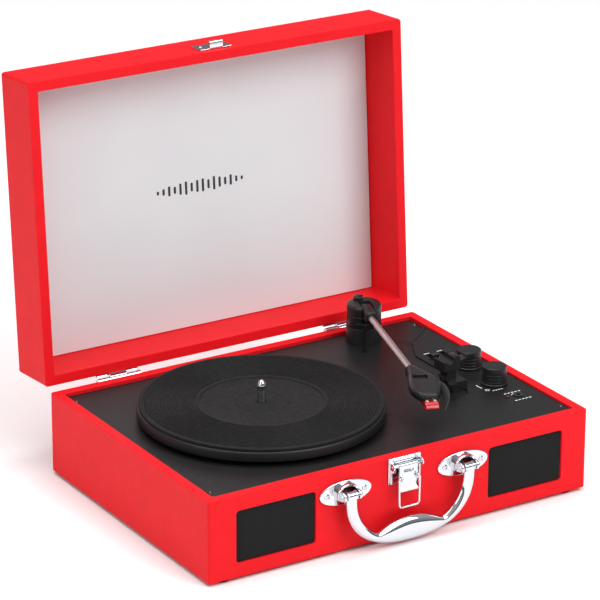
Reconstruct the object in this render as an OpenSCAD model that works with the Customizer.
// Suitcase record player: a two-part carrying case with a belt-driven turntable.
// The case stands on its feet at z = 0 with its lid open, resting on the hinge stops.
// Modules are drawn in the case frame: x = 0 at mid-width, y = 0 on the front wall's
// outer face, y growing to the back. placed() shifts that frame to the part's origin.

/* [Case] */
// Outside width of the case
case_w = 352; // [340:1:370]
// Outside depth of the case
case_d = 254; // [245:1:265]
// Height of the base, without its feet
base_h = 68; // [64:1:76]
// Height of the lid
lid_h = 47; // [45:1:60]
// Thickness of the case walls
wall = 8.5; // [7:0.5:10]
// Radius of the case's upright corners
corner_r = 2.5; // [2:0.5:8]
// Angle at which the open lid rests on its stops
lid_open = 94; // [91:1:100]
// Height of the rubber feet
foot_h = 3; // [2:0.5:6]

/* [Turntable] */
// Radius of the platter
platter_r = 100; // [90:1:101]
// Radius of the spindle
spindle_r = 3.55; // [3.5:0.01:3.6]
// Height of the spindle above the mat
spindle_h = 17.5; // [14:0.5:20]
// Spindle position across the case
spindle_x = -52; // [-56:1:-46]
// Spindle position back from the front wall
spindle_y = 128; // [124:1:132]
// Radius of the platter's drive ring
drive_ring_r = 71.5; // [68:0.5:73]
// Radius of the motor pulley's running face
pulley_r = 3.1; // [3:0.1:3.6]

/* [Tonearm] */
// Tonearm pivot position across the case
arm_x = 108; // [106:1:110]
// Tonearm pivot position back from the front wall
arm_y = 226; // [224:1:227]
// Height of the arm tube's axis above the floor
arm_z = 95.5; // [95:0.5:97]
// Angle of the arm from straight forward, towards the spindle
arm_yaw = 17; // [15:1:19]
// Distance from the pivot to the stylus tip
arm_length = 194; // [190:1:196]
// Radius of the arm tube
tube_r = 2.75; // [2.5:0.05:3]

/* [Front hardware] */
// Width of a speaker grille
grille_w = 71; // [60:1:74]
// Height of a speaker grille
grille_h = 43.5; // [40:0.5:46]
// Distance between the two legs of the carrying handle
handle_span = 109; // [104:1:114]
// Height of the handle's pivots above the floor
handle_z = 52.3; // [50:0.5:54]

/* [Hidden] */

$fn = 64;
gap = 0.3;                                   // clear space between parts of different bodies
fit = 0.05;                                  // radial clearance of a shaft that turns in a bore

half_w = case_w / 2;
inner_x = half_w - wall;
inner_back = case_d - wall;
rim_z = foot_h + base_h;
lid_z = rim_z + 0.2;                         // lower edge of the closed lid
lid_top = rim_z + lid_h;
hinge_y = case_d + 4.5;
hinge_z = rim_z - 2.5;
hinge_x = 110;
pin_r = 1.2;
front_reach = 16;                            // how far the handle stands out in front
back_reach = hinge_y - hinge_y * cos(lid_open) + (lid_top - hinge_z) * sin(lid_open);
row_shift = (front_reach - back_reach) / 2;  // puts the origin under the middle of the part

bottom_t = 5;
bottom_z = foot_h + 0.5;
deck_t = 4;
panel_z = rim_z - 1.6;                       // top face of the deck
well_depth = 1.4;
deck_z = panel_z - well_depth;               // floor of the turntable's shallow well
deck_under = panel_z - deck_t;
inner_floor = bottom_z + bottom_t;

mat_top = rim_z + 11.5;
mat_t = 2.5;
platter_top = mat_top - mat_t;
belt_z = rim_z + 1.3;
belt_h = 4.4;
belt_t = 0.8;
belt_gap = 0.1;
pulley_angle = 205;                          // direction from the spindle to the motor
pulley_reach = 85;
pulley_x = spindle_x + pulley_reach * cos(pulley_angle);
pulley_y = spindle_y + pulley_reach * sin(pulley_angle);

turret_r = 14.6;
turret_z = rim_z + 12.3;
turret_top = rim_z + 29;
turret_base_r = 15.2;
tip_z = mat_top + 2.8;                       // stylus tip with the arm raised
clip_z = arm_z - 1.3;
collar_at = 138;                             // where the tube meets the headshell
rest_y = 104;                                // arm rest, back from the front wall
lift_reach = 27;                             // lift bar's distance from the arm's pivot

volume_pos = [145.6, 87.4];
tone_pos = [148.2, 128];
speed_pos = [147, 161];
stop_pos = [134, 161];
jack_pos = [147.8, 56.2];
led_pos = [137.2, 56.2];

grille_x = half_w - 24.5 - grille_w / 2;
grille_z = 36.5;
speaker_r = 27;
cone_hole_r = 21;

bracket_x = handle_span / 2;
handle_y = -9.5;
bracket_pin_r = 1.8;
lever_y = -4.5;
lever_z = 64.5;
latch_pin_r = 0.9;
bail_y = -8.2;
bail_z = 55;
bail_l = 24.2;
bail_half = 9.5;
wire_r = 0.9;

rear_x = -95;
rear_z = 36;

// ---------- shared shapes ----------

module placed() translate([0, row_shift, 0]) children();

// a point turned with the lid from closed to open
module opened() translate([0, hinge_y, hinge_z]) rotate([-lid_open, 0, 0])
    translate([0, -hinge_y, -hinge_z]) children();

// the arm's own frame: origin on the pivot axis at the tube's height, x along the arm
module along_arm() translate([arm_x, arm_y, arm_z]) rotate([0, 0, -90 - arm_yaw]) children();

// rectangle with rounded corners, centred on x, from y0 to y1
module rounded_rect(w, y0, y1, r) {
    translate([-w / 2 + r, y0]) square([w - 2 * r, y1 - y0]);
    translate([-w / 2, y0 + r]) square([w, y1 - y0 - 2 * r]);
    for (x = [-w / 2 + r, w / 2 - r], y = [y0 + r, y1 - r]) translate([x, y]) circle(r);
}

// rounded plate standing on the front or back wall, thickness along y from y0 to y1
module upright_plate(w, z0, z1, r, y0, y1)
    translate([0, y1, 0]) rotate([90, 0, 0]) linear_extrude(y1 - y0) rounded_rect(w, z0, z1, r);

module x_rod(r, x0, x1, y, z) translate([x0, y, z]) rotate([0, 90, 0]) cylinder(r = r, h = x1 - x0);
module y_rod(r, y0, y1, x, z) translate([x, y1, z]) rotate([90, 0, 0]) cylinder(r = r, h = y1 - y0);
module z_rod(r, z0, z1, x, y) translate([x, y, z0]) cylinder(r = r, h = z1 - z0);

// domed screw head with a cross slot, lying on z = 0, its shank below
module screw(head_r, head_h, shank_r, shank_l) {
    difference() {
        cylinder(r1 = head_r, r2 = head_r * 0.7, h = head_h);
        for (a = [0, 90]) rotate([0, 0, a]) translate([-head_r * 0.45, -0.3, head_h * 0.4])
            cube([head_r * 0.9, 0.6, head_h]);
    }
    translate([0, 0, -shank_l]) cylinder(r = shank_r, h = shank_l);
}

module front_screw(x, z, y) translate([x, y, z]) rotate([90, 0, 0]) screw(2.4, 1.1, 1.2, 7);

// ---------- base of the case ----------

module base_case() color("crimson") difference() {
    translate([0, 0, foot_h]) linear_extrude(base_h) rounded_rect(case_w, 0, case_d, corner_r);
    translate([0, 0, foot_h - 1]) linear_extrude(base_h + 2)
        rounded_rect(2 * inner_x, wall, inner_back, 2);
    for (s = [-1, 1]) translate([s * grille_x, 0, 0]) {
        upright_plate(grille_w, grille_z - grille_h / 2, grille_z + grille_h / 2, 3, -1, 3);
        y_rod(cone_hole_r, 2, wall + 1, 0, grille_z);
    }
    for (s = [-1, 1], e = [-18, 18])
        y_rod(1.2, -1, 6.2, s * bracket_x + e, handle_z);
    for (x = [-10, 10]) y_rod(1.2, -1, 5, x, 59.5);
    translate([rear_x, 0, 0]) upright_plate(58, rear_z - 10, rear_z + 10, 2, inner_back - 1, case_d + 1);
    for (s = [-1, 1], x = [-15, 15]) y_rod(1.2, case_d - 6.2, case_d + 1, s * hinge_x + x, rim_z - 14);
}

module base_bottom() color("dimgray") difference() {
    translate([0, 0, bottom_z]) linear_extrude(bottom_t)
        rounded_rect(2 * inner_x - 0.5, wall + 0.25, inner_back - 0.25, 2);
    for (p = block_places) z_rod(1.6, bottom_z - 1, inner_floor + 1, p[0], p[1]);
    for (i = [-4 : 4]) translate([spindle_x + i * 9 - 1.5, 60, bottom_z - 1]) cube([3, 34, bottom_t + 2]);
}

block_in = 7.5;
block_places = [for (x = [-inner_x + block_in, inner_x - block_in],
                     y = [wall + block_in, inner_back - block_in]) [x, y]];

module corner_blocks() color("burlywood") difference() {
    for (p = block_places) translate([p[0] - 7, p[1] - 7, inner_floor])
        cube([14, 14, deck_under - inner_floor]);
    for (p = block_places) z_rod(1.2, inner_floor - 1, inner_floor + 12, p[0], p[1]);
    for (p = deck_screw_places) z_rod(1.2, deck_under - 12, deck_under + 1, p[0], p[1]);
}

module feet() color("black") for (x = [-160, 160], y = [9.5, case_d - 9.5])
    z_rod(6, 0, foot_h, x, y);

module bottom_screws() color("dimgray") for (p = block_places)
    translate([p[0], p[1], bottom_z]) rotate([180, 0, 0]) screw(2.6, 0.5, 1.2, 14);

deck_screw_places = [for (x = [-inner_x + 4, inner_x - 4], y = [20.5, case_d - 20.5]) [x, y]];

// holes for the controls
module panel_holes() {
    for (p = [volume_pos, tone_pos]) z_rod(3.4, deck_under - 1, panel_z + 1, p[0], p[1]);
    for (p = [speed_pos, stop_pos]) translate([p[0] - 2.2, p[1] - 6, deck_under - 1])
        cube([4.4, 12, deck_t + 2]);
    z_rod(3.5, deck_under - 1, panel_z + 1, jack_pos[0], jack_pos[1]);
    z_rod(1.5, deck_under - 1, panel_z + 1, led_pos[0], led_pos[1]);
}

// outline of the well round the platter and the arm; its right edge steps past the controls
module well_outline() {
    translate([spindle_x, spindle_y]) circle(platter_r + 6, $fn = 128);
    polygon([[inner_x + 1, 222], [147, 205], [139, 199], [124, 171], [124, 98], [115, 80],
             [40, 55], [-20, 128], [-inner_x - 1, 128], [-inner_x - 1, case_d], [inner_x + 1, case_d]]);
}

module deck() color("#202022") difference() {
    translate([0, 0, deck_under]) linear_extrude(deck_t)
        rounded_rect(2 * inner_x - 0.6, wall + 0.3, inner_back - 0.3, 2);
    translate([0, 0, deck_z]) linear_extrude(5) well_outline();
    z_rod(7, deck_under - 1, deck_z + 1, spindle_x, spindle_y);
    z_rod(4.5, deck_under - 1, deck_z + 1, pulley_x, pulley_y);
    z_rod(8, deck_under - 1, deck_z + 1, arm_x, arm_y);
    for (p = deck_screw_places) z_rod(1.5, deck_under - 1, panel_z + 1, p[0], p[1]);
    translate([143.4, 199.2, deck_z - 1]) rotate([0, 0, 39.5]) cube([32, 3.2, 4]);
    lift_post_place() translate([0, 0, deck_under - 1]) cylinder(r = 1.9, h = deck_t + 2);
    panel_holes();
}

module deck_screws() color("#101010") for (p = deck_screw_places)
    translate([p[0], p[1], p[1] > case_d / 2 ? deck_z : panel_z]) screw(2.6, 1, 1.2, 12);

// ---------- speakers and electronics ----------

module grille(side) translate([side * grille_x, 0, 0]) {
    upright_plate(grille_w - 0.4, grille_z - grille_h / 2 + 0.2, grille_z + grille_h / 2 - 0.2,
                  2.8, 0.6, 3);
}

module speaker(side) translate([side * grille_x, wall, grille_z]) rotate([-90, 0, 0])
    rotate_extrude() polygon([[0, 8], [9, 8], [cone_hole_r, 1.2], [cone_hole_r + 0.5, 0],
                              [speaker_r, 0], [speaker_r, 1.5], [23, 1.5], [15, 17], [0, 17]]);

module magnet(side) translate([side * grille_x, wall + 17, grille_z]) rotate([-90, 0, 0])
    cylinder(r = 16, h = 10);

module left_grille() color("#1c1c1e") grille(-1);
module right_grille() color("#1c1c1e") grille(1);
module left_speaker() color("#303030") speaker(-1);
module right_speaker() color("#303030") speaker(1);
module left_speaker_magnet() color("silver") magnet(-1);
module right_speaker_magnet() color("silver") magnet(1);

board_at = [60, 120, inner_floor + 5];

module amplifier_board() color("darkgreen") {
    translate(board_at) cube([80, 60, 1.6]);
    for (x = [4, 76], y = [4, 56]) z_rod(2.5, inner_floor, board_at[2], board_at[0] + x, board_at[1] + y);
}

module board_capacitors() color("#203050") for (i = [0 : 2])
    z_rod(5 - i, board_at[2] + 1.6, board_at[2] + 17 - 3 * i, board_at[0] + 18 + 16 * i, board_at[1] + 30);

module rear_plate() color("#202022") difference() {
    translate([rear_x, 0, 0]) upright_plate(66, rear_z - 14, rear_z + 14, 2, case_d, case_d + 1.6);
    for (x = [-22, -6]) y_rod(4.2, case_d - 1, case_d + 3, rear_x + x, rear_z);
    y_rod(2.6, case_d - 1, case_d + 3, rear_x + 8, rear_z);
    y_rod(4.2, case_d - 1, case_d + 3, rear_x + 22, rear_z);
}

// two phono sockets and the line-in socket
module rear_sockets() color("silver") {
    for (x = [-22, -6]) difference() {
        union() {
            y_rod(4.2, case_d - 6, case_d + 3.5, rear_x + x, rear_z);
            y_rod(6, case_d - 7, case_d, rear_x + x, rear_z);
        }
        y_rod(1.6, case_d - 5, case_d + 4, rear_x + x, rear_z);
    }
    difference() {
        union() {
            y_rod(2.6, case_d - 1, case_d + 2.2, rear_x + 8, rear_z);
            y_rod(4, case_d - 14, case_d, rear_x + 8, rear_z);
        }
        y_rod(1.8, case_d - 12, case_d + 3, rear_x + 8, rear_z);
    }
}

module dc_inlet() color("#151515") difference() {
    union() {
        y_rod(4.2, case_d - 1, case_d + 2.2, rear_x + 22, rear_z);
        y_rod(6, case_d - 12, case_d, rear_x + 22, rear_z);
    }
    difference() {
        y_rod(2.8, case_d - 10, case_d + 3, rear_x + 22, rear_z);
        y_rod(1, case_d - 11, case_d + 1, rear_x + 22, rear_z);
    }
}

module headphone_jack() color("#151515") difference() {
    union() {
        z_rod(3.5, deck_under - 12, panel_z + 0.8, jack_pos[0], jack_pos[1]);
        z_rod(4.4, panel_z, panel_z + 0.8, jack_pos[0], jack_pos[1]);
    }
    z_rod(1.8, deck_under - 10, panel_z + 2, jack_pos[0], jack_pos[1]);
}

module power_led() color("red") {
    z_rod(1.5, deck_under - 2, panel_z + 0.4, led_pos[0], led_pos[1]);
    translate([led_pos[0], led_pos[1], panel_z + 0.4]) sphere(1.5);
}

// ---------- hinges ----------

knuckle_r = 2.8;

module hinge_leaf(z0, z1, knuckles, web_z0, web_z1) difference() {
    union() {
        upright_plate(40, z0, z1, 1.5, case_d, case_d + 1.4);
        for (k = knuckles) {
            x_rod(knuckle_r, k[0], k[1], hinge_y, hinge_z);
            translate([k[0], case_d + gap, web_z0]) cube([k[1] - k[0], 4.5 - gap, web_z1 - web_z0]);
        }
    }
    x_rod(pin_r + fit, -21, 21, hinge_y, hinge_z);
}

module base_hinge_leaves() color("silver") for (s = [-1, 1]) translate([s * hinge_x, 0, 0])
    difference() {
        union() {
            hinge_leaf(rim_z - 20, rim_z - 4, [[-20, -8], [8, 20]], rim_z - 5, hinge_z);
            for (x = [-20, 8]) translate([x, case_d, rim_z - 5]) cube([12, 1.4, 2.5]);
        }
        for (x = [-15, 15]) y_rod(1.2, case_d - 1, case_d + 2, x, rim_z - 14);
    }

// the middle knuckles carry a stop tab that meets the base leaf when the lid is open
module lid_hinge_leaves() color("silver") opened() for (s = [-1, 1]) translate([s * hinge_x, 0, 0])
    difference() {
        union() {
            hinge_leaf(lid_z, rim_z + 17, [[-7.7, 7.7]], hinge_z, lid_z + 1.5);
            translate([0, hinge_y, hinge_z]) rotate([lid_open, 0, 0])
                translate([-7.7, -3.1, -6.5]) cube([15.4, 1.6, 6]);
        }
        x_rod(pin_r + fit, -21, 21, hinge_y, hinge_z);
        for (x = [-15, 15]) y_rod(1.2, case_d - 1, case_d + 2, x, rim_z + 11);
    }

module hinge_pins() color("gray") for (s = [-1, 1])
    x_rod(pin_r, s * hinge_x - 20.6, s * hinge_x + 20.6, hinge_y, hinge_z);

module hinge_screws() color("gray") for (s = [-1, 1], x = [-15, 15])
    translate([s * hinge_x + x, case_d + 1.4, rim_z - 14]) rotate([-90, 0, 0]) screw(2.4, 0.9, 1.15, 7.4);

// ---------- carrying handle ----------

module handle_bracket(side) translate([side * bracket_x, 0, handle_z]) difference() {
    union() {
        rotate([90, 0, 0]) linear_extrude(1.6)
            polygon([for (a = [0 : 7.5 : 352]) [23.6 * cos(a), 10 * sin(a)]]);
        for (x = [-8.2, 5.8]) {
            x_rod(4, x, x + 2.4, handle_y, 0);
            translate([x, handle_y, -4]) cube([2.4, -handle_y - 1, 8]);
        }
        x_rod(bracket_pin_r, -7.6, 7.6, handle_y, 0);
    }
    for (x = [-18, 18]) y_rod(1.2, -2, 1, x, 0);
}

module left_handle_bracket() color("silver") handle_bracket(-1);
module right_handle_bracket() color("silver") handle_bracket(1);

module bracket_screws() color("silver") for (s = [-1, 1], e = [-18, 18])
    front_screw(s * bracket_x + e, handle_z, -1.6);

// lower half of a rounded U, from one leg's top round to the other's
function bow(half, drop, n) = [for (a = [0 : 4 : 180])
    [half * sign(cos(a)) * pow(abs(cos(a)), 2 / n), bow_z - drop * pow(sin(a), 2 / n)]];
bow_z = 50;

module carrying_handle() color("gainsboro") difference() {
    union() {
        translate([0, handle_y + 5, 0]) rotate([90, 0, 0]) linear_extrude(10) {
            difference() {
                polygon(bow(60, 47, 2.35));
                polygon(concat(bow(49.4, 40.4, 2.35), [[-49.4, bow_z + 1], [49.4, bow_z + 1]]));
            }
            intersection() {
                polygon(bow(59, 46, 2.35));
                translate([0, -30.2]) circle(53.6, $fn = 128);
                translate([-36, 0]) square([72, 30]);
            }
        }
        for (s = [-1, 1]) {
            translate([s * bracket_x - 4.8, handle_y - 4, bow_z - 2]) cube([9.6, 8, handle_z - bow_z + 2]);
            x_rod(4, s * bracket_x - 4.8, s * bracket_x + 4.8, handle_y, handle_z);
        }
    }
    for (s = [-1, 1])
        x_rod(bracket_pin_r + fit, s * bracket_x - 7, s * bracket_x + 7, handle_y, handle_z);
}

// ---------- latch ----------

module latch_plate() color("silver") difference() {
    union() {
        upright_plate(30, 48.5, 70.5, 1, -1.2, 0);
        for (x = [-14, 12.6]) {
            x_rod(3, x, x + 1.4, lever_y, lever_z);
            translate([x, lever_y, lever_z - 3]) cube([1.4, -lever_y - 1, 6]);
        }
        x_rod(latch_pin_r, -13, 13, lever_y, lever_z);
    }
    for (x = [-10, 10]) y_rod(1.2, -2, 1, x, 59.5);
}

module latch_rivets() color("silver") for (x = [-10, 10]) {
    y_rod(1.2, -1.2, 4.5, x, 59.5);
    y_rod(1.9, -1.7, -1.2, x, 59.5);
}

module latch_lever() color("gainsboro") difference() {
    union() {
        x_rod(2.3, -8.2, 8.2, lever_y, lever_z);
        translate([-8.3, -6.6, 46]) cube([16.6, 1.6, lever_z - 46]);
        translate([-6.5, -7.6, 43.5]) cube([13, 2.2, 3]);
        for (x = [-8.3, 6.9]) translate([x, bail_y - 1.9, bail_z - 2.4]) cube([1.4, 4, 4.8]);
    }
    x_rod(latch_pin_r + fit, -14, 14, lever_y, lever_z);
    x_rod(wire_r + fit, -9, 9, bail_y, bail_z);
}

module latch_bail() color("silver") {
    for (s = [-1, 1]) {
        z_rod(wire_r, bail_z - bail_l + 2, bail_z, s * bail_half, bail_y);
        translate([s * bail_half, bail_y, bail_z]) sphere(wire_r);
        x_rod(wire_r, min(s * bail_half, s * 7), max(s * bail_half, s * 7), bail_y, bail_z);
        translate([s * (bail_half - 2), bail_y, bail_z - bail_l + 2]) rotate([90, 0, 0])
            rotate([0, 0, s > 0 ? 270 : 180]) rotate_extrude(angle = 90) translate([2, 0]) circle(wire_r, $fn = 24);
    }
    x_rod(wire_r, -bail_half + 2, bail_half - 2, bail_y, bail_z - bail_l);
}

// ---------- lid ----------

module lid_frame() color("crimson") opened() difference() {
    translate([0, 0, lid_z]) linear_extrude(lid_top - lid_z) rounded_rect(case_w, 0, case_d, corner_r);
    translate([0, 0, lid_z - 1]) linear_extrude(lid_h + 2)
        rounded_rect(2 * inner_x, wall, inner_back, 2);
    for (s = [-1, 1], x = [-15, 15]) y_rod(1.2, case_d - 6.2, case_d + 1, s * hinge_x + x, rim_z + 11);
    for (x = [-10, 10]) y_rod(1.2, -1, 5, x, rim_z + 15);
}

module lid_panel() color("crimson") opened() translate([0, 0, lid_top - 3]) linear_extrude(3)
    rounded_rect(2 * inner_x, wall, inner_back, 2);

module lid_liner() color("white") opened() translate([0, 0, lid_top - 4]) linear_extrude(1)
    rounded_rect(2 * inner_x - 0.6, wall + 0.3, inner_back - 0.3, 2);

// striker plate whose turned-up tongue takes the latch's wire bail
module lid_catch() color("silver") opened() difference() {
    union() {
        upright_plate(30, rim_z + 5.8, rim_z + 22, 1, -1.2, 0);
        translate([-6, -6.6, rim_z + 5.8]) cube([12, 6, 0.8]);
        translate([-6, -6.6, rim_z + 5.8]) cube([12, 0.8, 3.4]);
    }
    for (x = [-10, 10]) y_rod(1.2, -2, 1, x, rim_z + 15);
}

module catch_rivets() color("silver") opened() for (x = [-10, 10]) {
    y_rod(1.2, -1.2, 4.5, x, rim_z + 15);
    y_rod(1.9, -1.7, -1.2, x, rim_z + 15);
}

// ---------- turntable ----------

module about_spindle() translate([spindle_x, spindle_y, 0]) children();

module bearing_sleeve() color("goldenrod") about_spindle() difference() {
    union() {
        translate([0, 0, deck_under - 24]) cylinder(r = 7, h = deck_t + 24);
        translate([0, 0, deck_z]) cylinder(r = 10, h = 1.2);
    }
    translate([0, 0, deck_under - 22]) cylinder(r = 2.5 + fit, h = deck_t + 30);
}

hub_z = deck_z + 1.6;
stem_r = 2.5;                                // spindle inside the platter's hub

module platter() color("#1b1b1c") about_spindle() rotate_extrude($fn = 180) polygon([
    [stem_r, hub_z], [9, hub_z], [9, platter_top - 2.5],
    [drive_ring_r - 2, platter_top - 2.5], [drive_ring_r - 2, hub_z + 0.6],
    [drive_ring_r, hub_z + 0.6], [drive_ring_r, platter_top - 2.5],
    [platter_r - 2.5, platter_top - 2.5], [platter_r - 2.5, rim_z + 0.8],
    [platter_r, rim_z + 0.8], [platter_r, platter_top - 1],
    [platter_r - 1, platter_top], [stem_r, platter_top]]);

label_r = 50;

module platter_mat() color("#151516") about_spindle() rotate_extrude($fn = 180) polygon(concat(
    [[stem_r + 0.1, platter_top], [platter_r - 1.6, platter_top], [platter_r - 1.6, mat_top - 0.6],
     [platter_r - 2.2, mat_top]],
    [for (i = [0 : 8]) each [[95 - 5 * i, mat_top], [94.6 - 5 * i, mat_top - 0.7],
                             [93.4 - 5 * i, mat_top - 0.7], [93 - 5 * i, mat_top]]],
    [[label_r, mat_top], [label_r - 0.6, mat_top - 1], [stem_r + 0.1, mat_top - 1]]));

module spindle() color("silver") about_spindle() rotate_extrude() polygon([
    [0, deck_under - 20], [stem_r, deck_under - 20], [stem_r, mat_top - 0.9], [spindle_r, mat_top - 0.9],
    [spindle_r, mat_top + spindle_h - 4], [2.4, mat_top + spindle_h - 1.2],
    [1.2, mat_top + spindle_h], [0, mat_top + spindle_h]]);

module motor() color("lightgray") translate([pulley_x, pulley_y, 0]) difference() {
    union() {
        translate([0, 0, deck_under - 26]) cylinder(r = 16, h = 26);
        translate([0, 0, deck_under - 28]) cylinder(r = 5, h = 2);
    }
    translate([0, 0, deck_under - 12]) cylinder(r = 1 + fit, h = 13);
}

module motor_pulley() color("goldenrod") translate([pulley_x, pulley_y, 0]) rotate_extrude() polygon([
    [0, deck_under - 11], [1, deck_under - 11], [1, belt_z - 1], [4, belt_z - 1],
    [4, belt_z - 0.3], [pulley_r, belt_z - 0.1], [pulley_r, belt_z + belt_h + 0.1],
    [4, belt_z + belt_h + 0.3], [4, belt_z + belt_h + 0.8], [0, belt_z + belt_h + 0.8]]);

// outline of the belt's loop: short chords round the drive ring and the pulley, straight between
function belt_loop(big, small, lean) = concat(
    [for (i = [0 : 48]) big * [cos(lean + i * (360 - 2 * lean) / 48), sin(lean + i * (360 - 2 * lean) / 48)]],
    [for (i = [0 : 12]) [pulley_reach, 0] + small * [cos(i * 2 * lean / 12 - lean), sin(i * 2 * lean / 12 - lean)]]);

module drive_belt() color("black") about_spindle() translate([0, 0, belt_z])
    rotate([0, 0, pulley_angle]) linear_extrude(belt_h) {
        big = drive_ring_r + belt_gap + 0.1;
        small = pulley_r + belt_gap + 0.05;
        lean = acos((big - small) / pulley_reach);
        difference() {
            polygon(belt_loop(big + belt_t, small + belt_t, lean));
            polygon(belt_loop(big, small, lean));
        }
    }

// ---------- tonearm ----------

module tonearm_base() color("#161616") translate([arm_x, arm_y, 0]) difference() {
    union() {
        translate([0, 0, deck_z]) cylinder(r = turret_base_r, h = turret_z - gap - deck_z);
        translate([0, 0, deck_under - 6]) cylinder(r = 8, h = 10);
    }
    translate([0, 0, deck_under - 7]) cylinder(r = 5 + fit, h = 40);
}

// the turret turns on a hollow post and holds the arm's cross pin
module tonearm_turret() color("#1a1a1a") {
    difference() {
        translate([arm_x, arm_y, 0]) union() {
            translate([0, 0, deck_under - 5]) cylinder(r = 5, h = turret_z - deck_under + 6);
            translate([0, 0, turret_z]) cylinder(r = turret_r, h = turret_top - turret_z);
            translate([0, 0, turret_top]) cylinder(r1 = 14.2, r2 = 13.2, h = 2.4);
        }
        along_arm() translate([-7, -5, -6.5]) cube([30, 10, 13.5]);
        along_arm() translate([0, 0, -3]) rotate([0, 0, 0]) translate([10, -6, -3.5]) cube([10, 12, 13.5]);
        translate([arm_x, arm_y, deck_under - 6]) cylinder(r = 2.5, h = 30);
    }
    along_arm() translate([0, 6, 0]) rotate([90, 0, 0]) cylinder(r = 1.4, h = 12);
}

module bias_screw() color("#202020") along_arm() translate([-8, -3, turret_top + 2.4 - arm_z]) {
    cylinder(r = 4.2, h = 2.6);
    translate([0, 0, 2.6]) cylinder(r1 = 4.2, r2 = 3.4, h = 0.8);
}

module arm_tube() color("silver") along_arm() difference() {
    union() {
        rotate([0, 90, 0]) cylinder(r = tube_r, h = collar_at + 6);
        translate([0, 4.4, 0]) rotate([90, 0, 0]) cylinder(r = 4, h = 8.8);
    }
    translate([0, 6, 0]) rotate([90, 0, 0]) cylinder(r = 1.4 + fit, h = 12);
    translate([20, 0, 0]) rotate([0, 90, 0]) cylinder(r = tube_r - 0.8, h = collar_at);
}

shell_l = arm_length - collar_at + 3;

// plan of the headshell, from its collar to its front edge
shell_plan = [[0, -4], [0, 4], [9, 7.5], [22, 12.5], [33, 14.5], [42, 13], [52, 9], [shell_l, 5.5],
              [shell_l, -6.5], [54, -10.5], [44, -12.5], [30, -10.5], [16, -7], [8, -5]];
// the finger lift, a horn that starts at the shell's outer side and curves past its front
finger_plan = [[28, 11], [36, 15], [46, 17], [55, 16.2], [63, 13], [70, 8], [63, 10.4], [54, 11.6],
               [44, 11.5]];

module headshell() color("#2a2a2c") along_arm() translate([collar_at, 0, 0]) difference() {
    union() {
        translate([0, 0, -3.5]) linear_extrude(7) polygon(shell_plan);
        translate([0, 0, -3.5]) linear_extrude(2.4) polygon(finger_plan);
        rotate([0, 90, 0]) cylinder(r = 4.2, h = 8);
    }
    translate([0, 0, -4.5]) linear_extrude(5.5) polygon([[17, -5.4], [17, 8.4], [33, 11.5], [42, 9.8],
        [shell_l - 2, 3.8], [shell_l - 2, -5], [44, -10.6], [30, -8.8]]);
    translate([-1, 0, 0]) rotate([0, 90, 0]) cylinder(r = tube_r, h = 7);
    translate([21, -5, 1.8]) rotate([0, 0, 12]) cube([5.4, 11.4, 3]);
}

module cartridge() color("#d8d8d8") along_arm() translate([collar_at + 18.5, -4.6, -7])
    cube([26, 11, 7.2]);

// replaceable stylus: a red carrier with the tip under its front end
module stylus() color("red") along_arm() {
    translate([arm_length - 13, 5, 0]) rotate([90, 0, 0]) linear_extrude(11)
        polygon([[0, -9.3], [0, -7.3], [5, -6.6], [13, -5.2], [21, -7.2], [21, -9.6], [15, -10]]);
    translate([arm_length, -0.5, tip_z - arm_z]) cylinder(r1 = 0.25, r2 = 1, h = arm_z - 9.5 - tip_z);
}

cue_z = deck_z + 11;
clip_x = 7;

// post with a shallow saddle; its outer prongs carry the clip's pin
module arm_rest() color("#1e1e1f") translate([arm_x, rest_y, 0]) difference() {
    union() {
        translate([-1, -14, deck_z]) cube([13.5, 20, 8.6]);
        translate([-1, -5, deck_z]) cube([9, 10, 20]);
        translate([-5.6, -7.5, deck_z + 16.6]) cube([9.6, 15, 9]);
        translate([2, -7.5, deck_z + 16.6]) cube([8, 15, clip_z - deck_z - 16.6]);
        y_rod(2.6, -7.5, 7.5, clip_x, clip_z);
    }
    y_rod(tube_r + 0.4, -8, 8, 0, arm_z - 2.2);
    translate([-6, -8, arm_z - tube_r - 0.4]) cube([10.2, 16, 20]);
    y_rod(1 + fit, -9, 9, clip_x, clip_z);
    translate([4.3, -4.5, deck_z + 18]) cube([12, 9, 20]);
    x_rod(1.6 + fit, -2, 6, 0, cue_z);
}

// swinging clip that closes over the parked arm; drawn open, folded down to the outer side
module arm_clip() color("#2c2c2e") translate([arm_x + clip_x, rest_y, clip_z]) rotate([0, 165, 0]) {
    y_rod(1, -7.3, 7.3, 0, 0);
    y_rod(2.2, -4.2, 4.2, 0, 0);
    translate([-1, -4.2, 0]) cube([2, 8.4, 6.8]);
    translate([-12.4, -4.2, 5.2]) cube([13.4, 8.4, 1.6]);
    translate([-12.4, -4.2, 4]) cube([1.4, 8.4, 2]);
}

module cue_lever() color("#2c2c2e") translate([arm_x, rest_y, cue_z]) {
    x_rod(1.6, -4, 5.4, 0, 0);
    translate([0, 0, -1.6]) linear_extrude(3.2) polygon([[-1.6, 2], [-4.6, 2], [-5.4, -12], [-9, -21],
        [-12.4, -24.6], [-10, -28], [-5.4, -26], [-2.8, -18], [-1.6, -10]]);
    translate([-9.6, -25, -1.6]) cylinder(r = 2.9, h = 4.4);
}

module lift_post_place() translate([arm_x, arm_y, 0]) rotate([0, 0, -90 - arm_yaw - 14])
    translate([lift_reach, 0, 0]) children();

// curved bar under the arm, carried on a post that slides in the deck
module lift_bar() color("#2c2c2e") {
    translate([arm_x, arm_y, lift_top - 2.4]) rotate([0, 0, -90 - arm_yaw - 32])
        rotate_extrude(angle = 46) translate([lift_reach - 1.5, 0]) square([3, 2.4]);
    lift_post_place() translate([0, 0, deck_under - 8]) cylinder(r = 1.8, h = lift_top - 1 - deck_under + 8);
}
lift_top = arm_z - tube_r - 0.35;

// ---------- controls ----------

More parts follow.
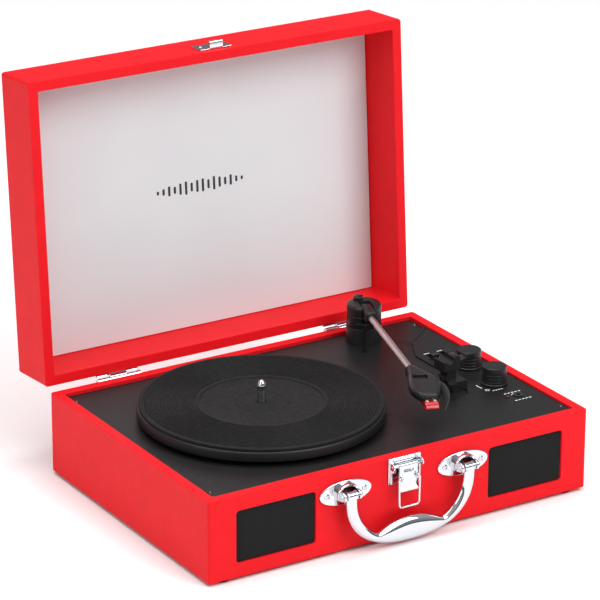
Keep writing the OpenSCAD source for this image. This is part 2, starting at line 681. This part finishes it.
module knob(pos) translate([pos[0], pos[1], 0]) {
    translate([0, 0, panel_z + gap]) cylinder(r = 11.2, h = 1.6);
    translate([0, 0, panel_z + gap + 1.6]) cylinder(r1 = 10.4, r2 = 10.1, h = 13.2);
    translate([0, 0, panel_z + gap + 14.8]) cylinder(r1 = 10.1, r2 = 9.3, h = 0.8);
    translate([0, 0, deck_under - 10]) cylinder(r = 3.35, h = panel_z + 1 - deck_under + 10);
}

module volume_knob() color("#151515") knob(volume_pos);
module tone_knob() color("#151515") knob(tone_pos);

module slider(pos, at) translate([pos[0], pos[1] + at, 0]) {
    translate([-1.9, -1.9, deck_under - 3]) cube([3.8, 3.8, panel_z - deck_under + 7]);
    translate([-3, -2.4, panel_z + gap]) cube([6, 4.8, 3.6]);
}

module speed_slider() color("#151515") slider(speed_pos, -3.6);
module auto_stop_slider() color("#151515") slider(stop_pos, -3.6);

// ---------- drawing ----------

placed() base_case();
placed() base_bottom();
placed() corner_blocks();
placed() feet();
placed() bottom_screws();
placed() deck();
placed() deck_screws();
placed() left_grille();
placed() right_grille();
placed() left_speaker();
placed() right_speaker();
placed() left_speaker_magnet();
placed() right_speaker_magnet();
placed() amplifier_board();
placed() board_capacitors();
placed() rear_plate();
placed() rear_sockets();
placed() dc_inlet();
placed() headphone_jack();
placed() power_led();
placed() base_hinge_leaves();
placed() hinge_pins();
placed() hinge_screws();
placed() left_handle_bracket();
placed() right_handle_bracket();
placed() bracket_screws();
placed() latch_plate();
placed() latch_rivets();
placed() latch_lever();
placed() latch_bail();
placed() carrying_handle();
placed() lid_frame();
placed() lid_panel();
placed() lid_liner();
placed() lid_hinge_leaves();
placed() lid_catch();
placed() catch_rivets();
placed() bearing_sleeve();
placed() platter();
placed() platter_mat();
placed() spindle();
placed() motor();
placed() motor_pulley();
placed() drive_belt();
placed() tonearm_base();
placed() tonearm_turret();
placed() bias_screw();
placed() arm_tube();
placed() headshell();
placed() cartridge();
placed() stylus();
placed() arm_rest();
placed() arm_clip();
placed() cue_lever();
placed() lift_bar();
placed() volume_knob();
placed() tone_knob();
placed() speed_slider();
placed() auto_stop_slider();
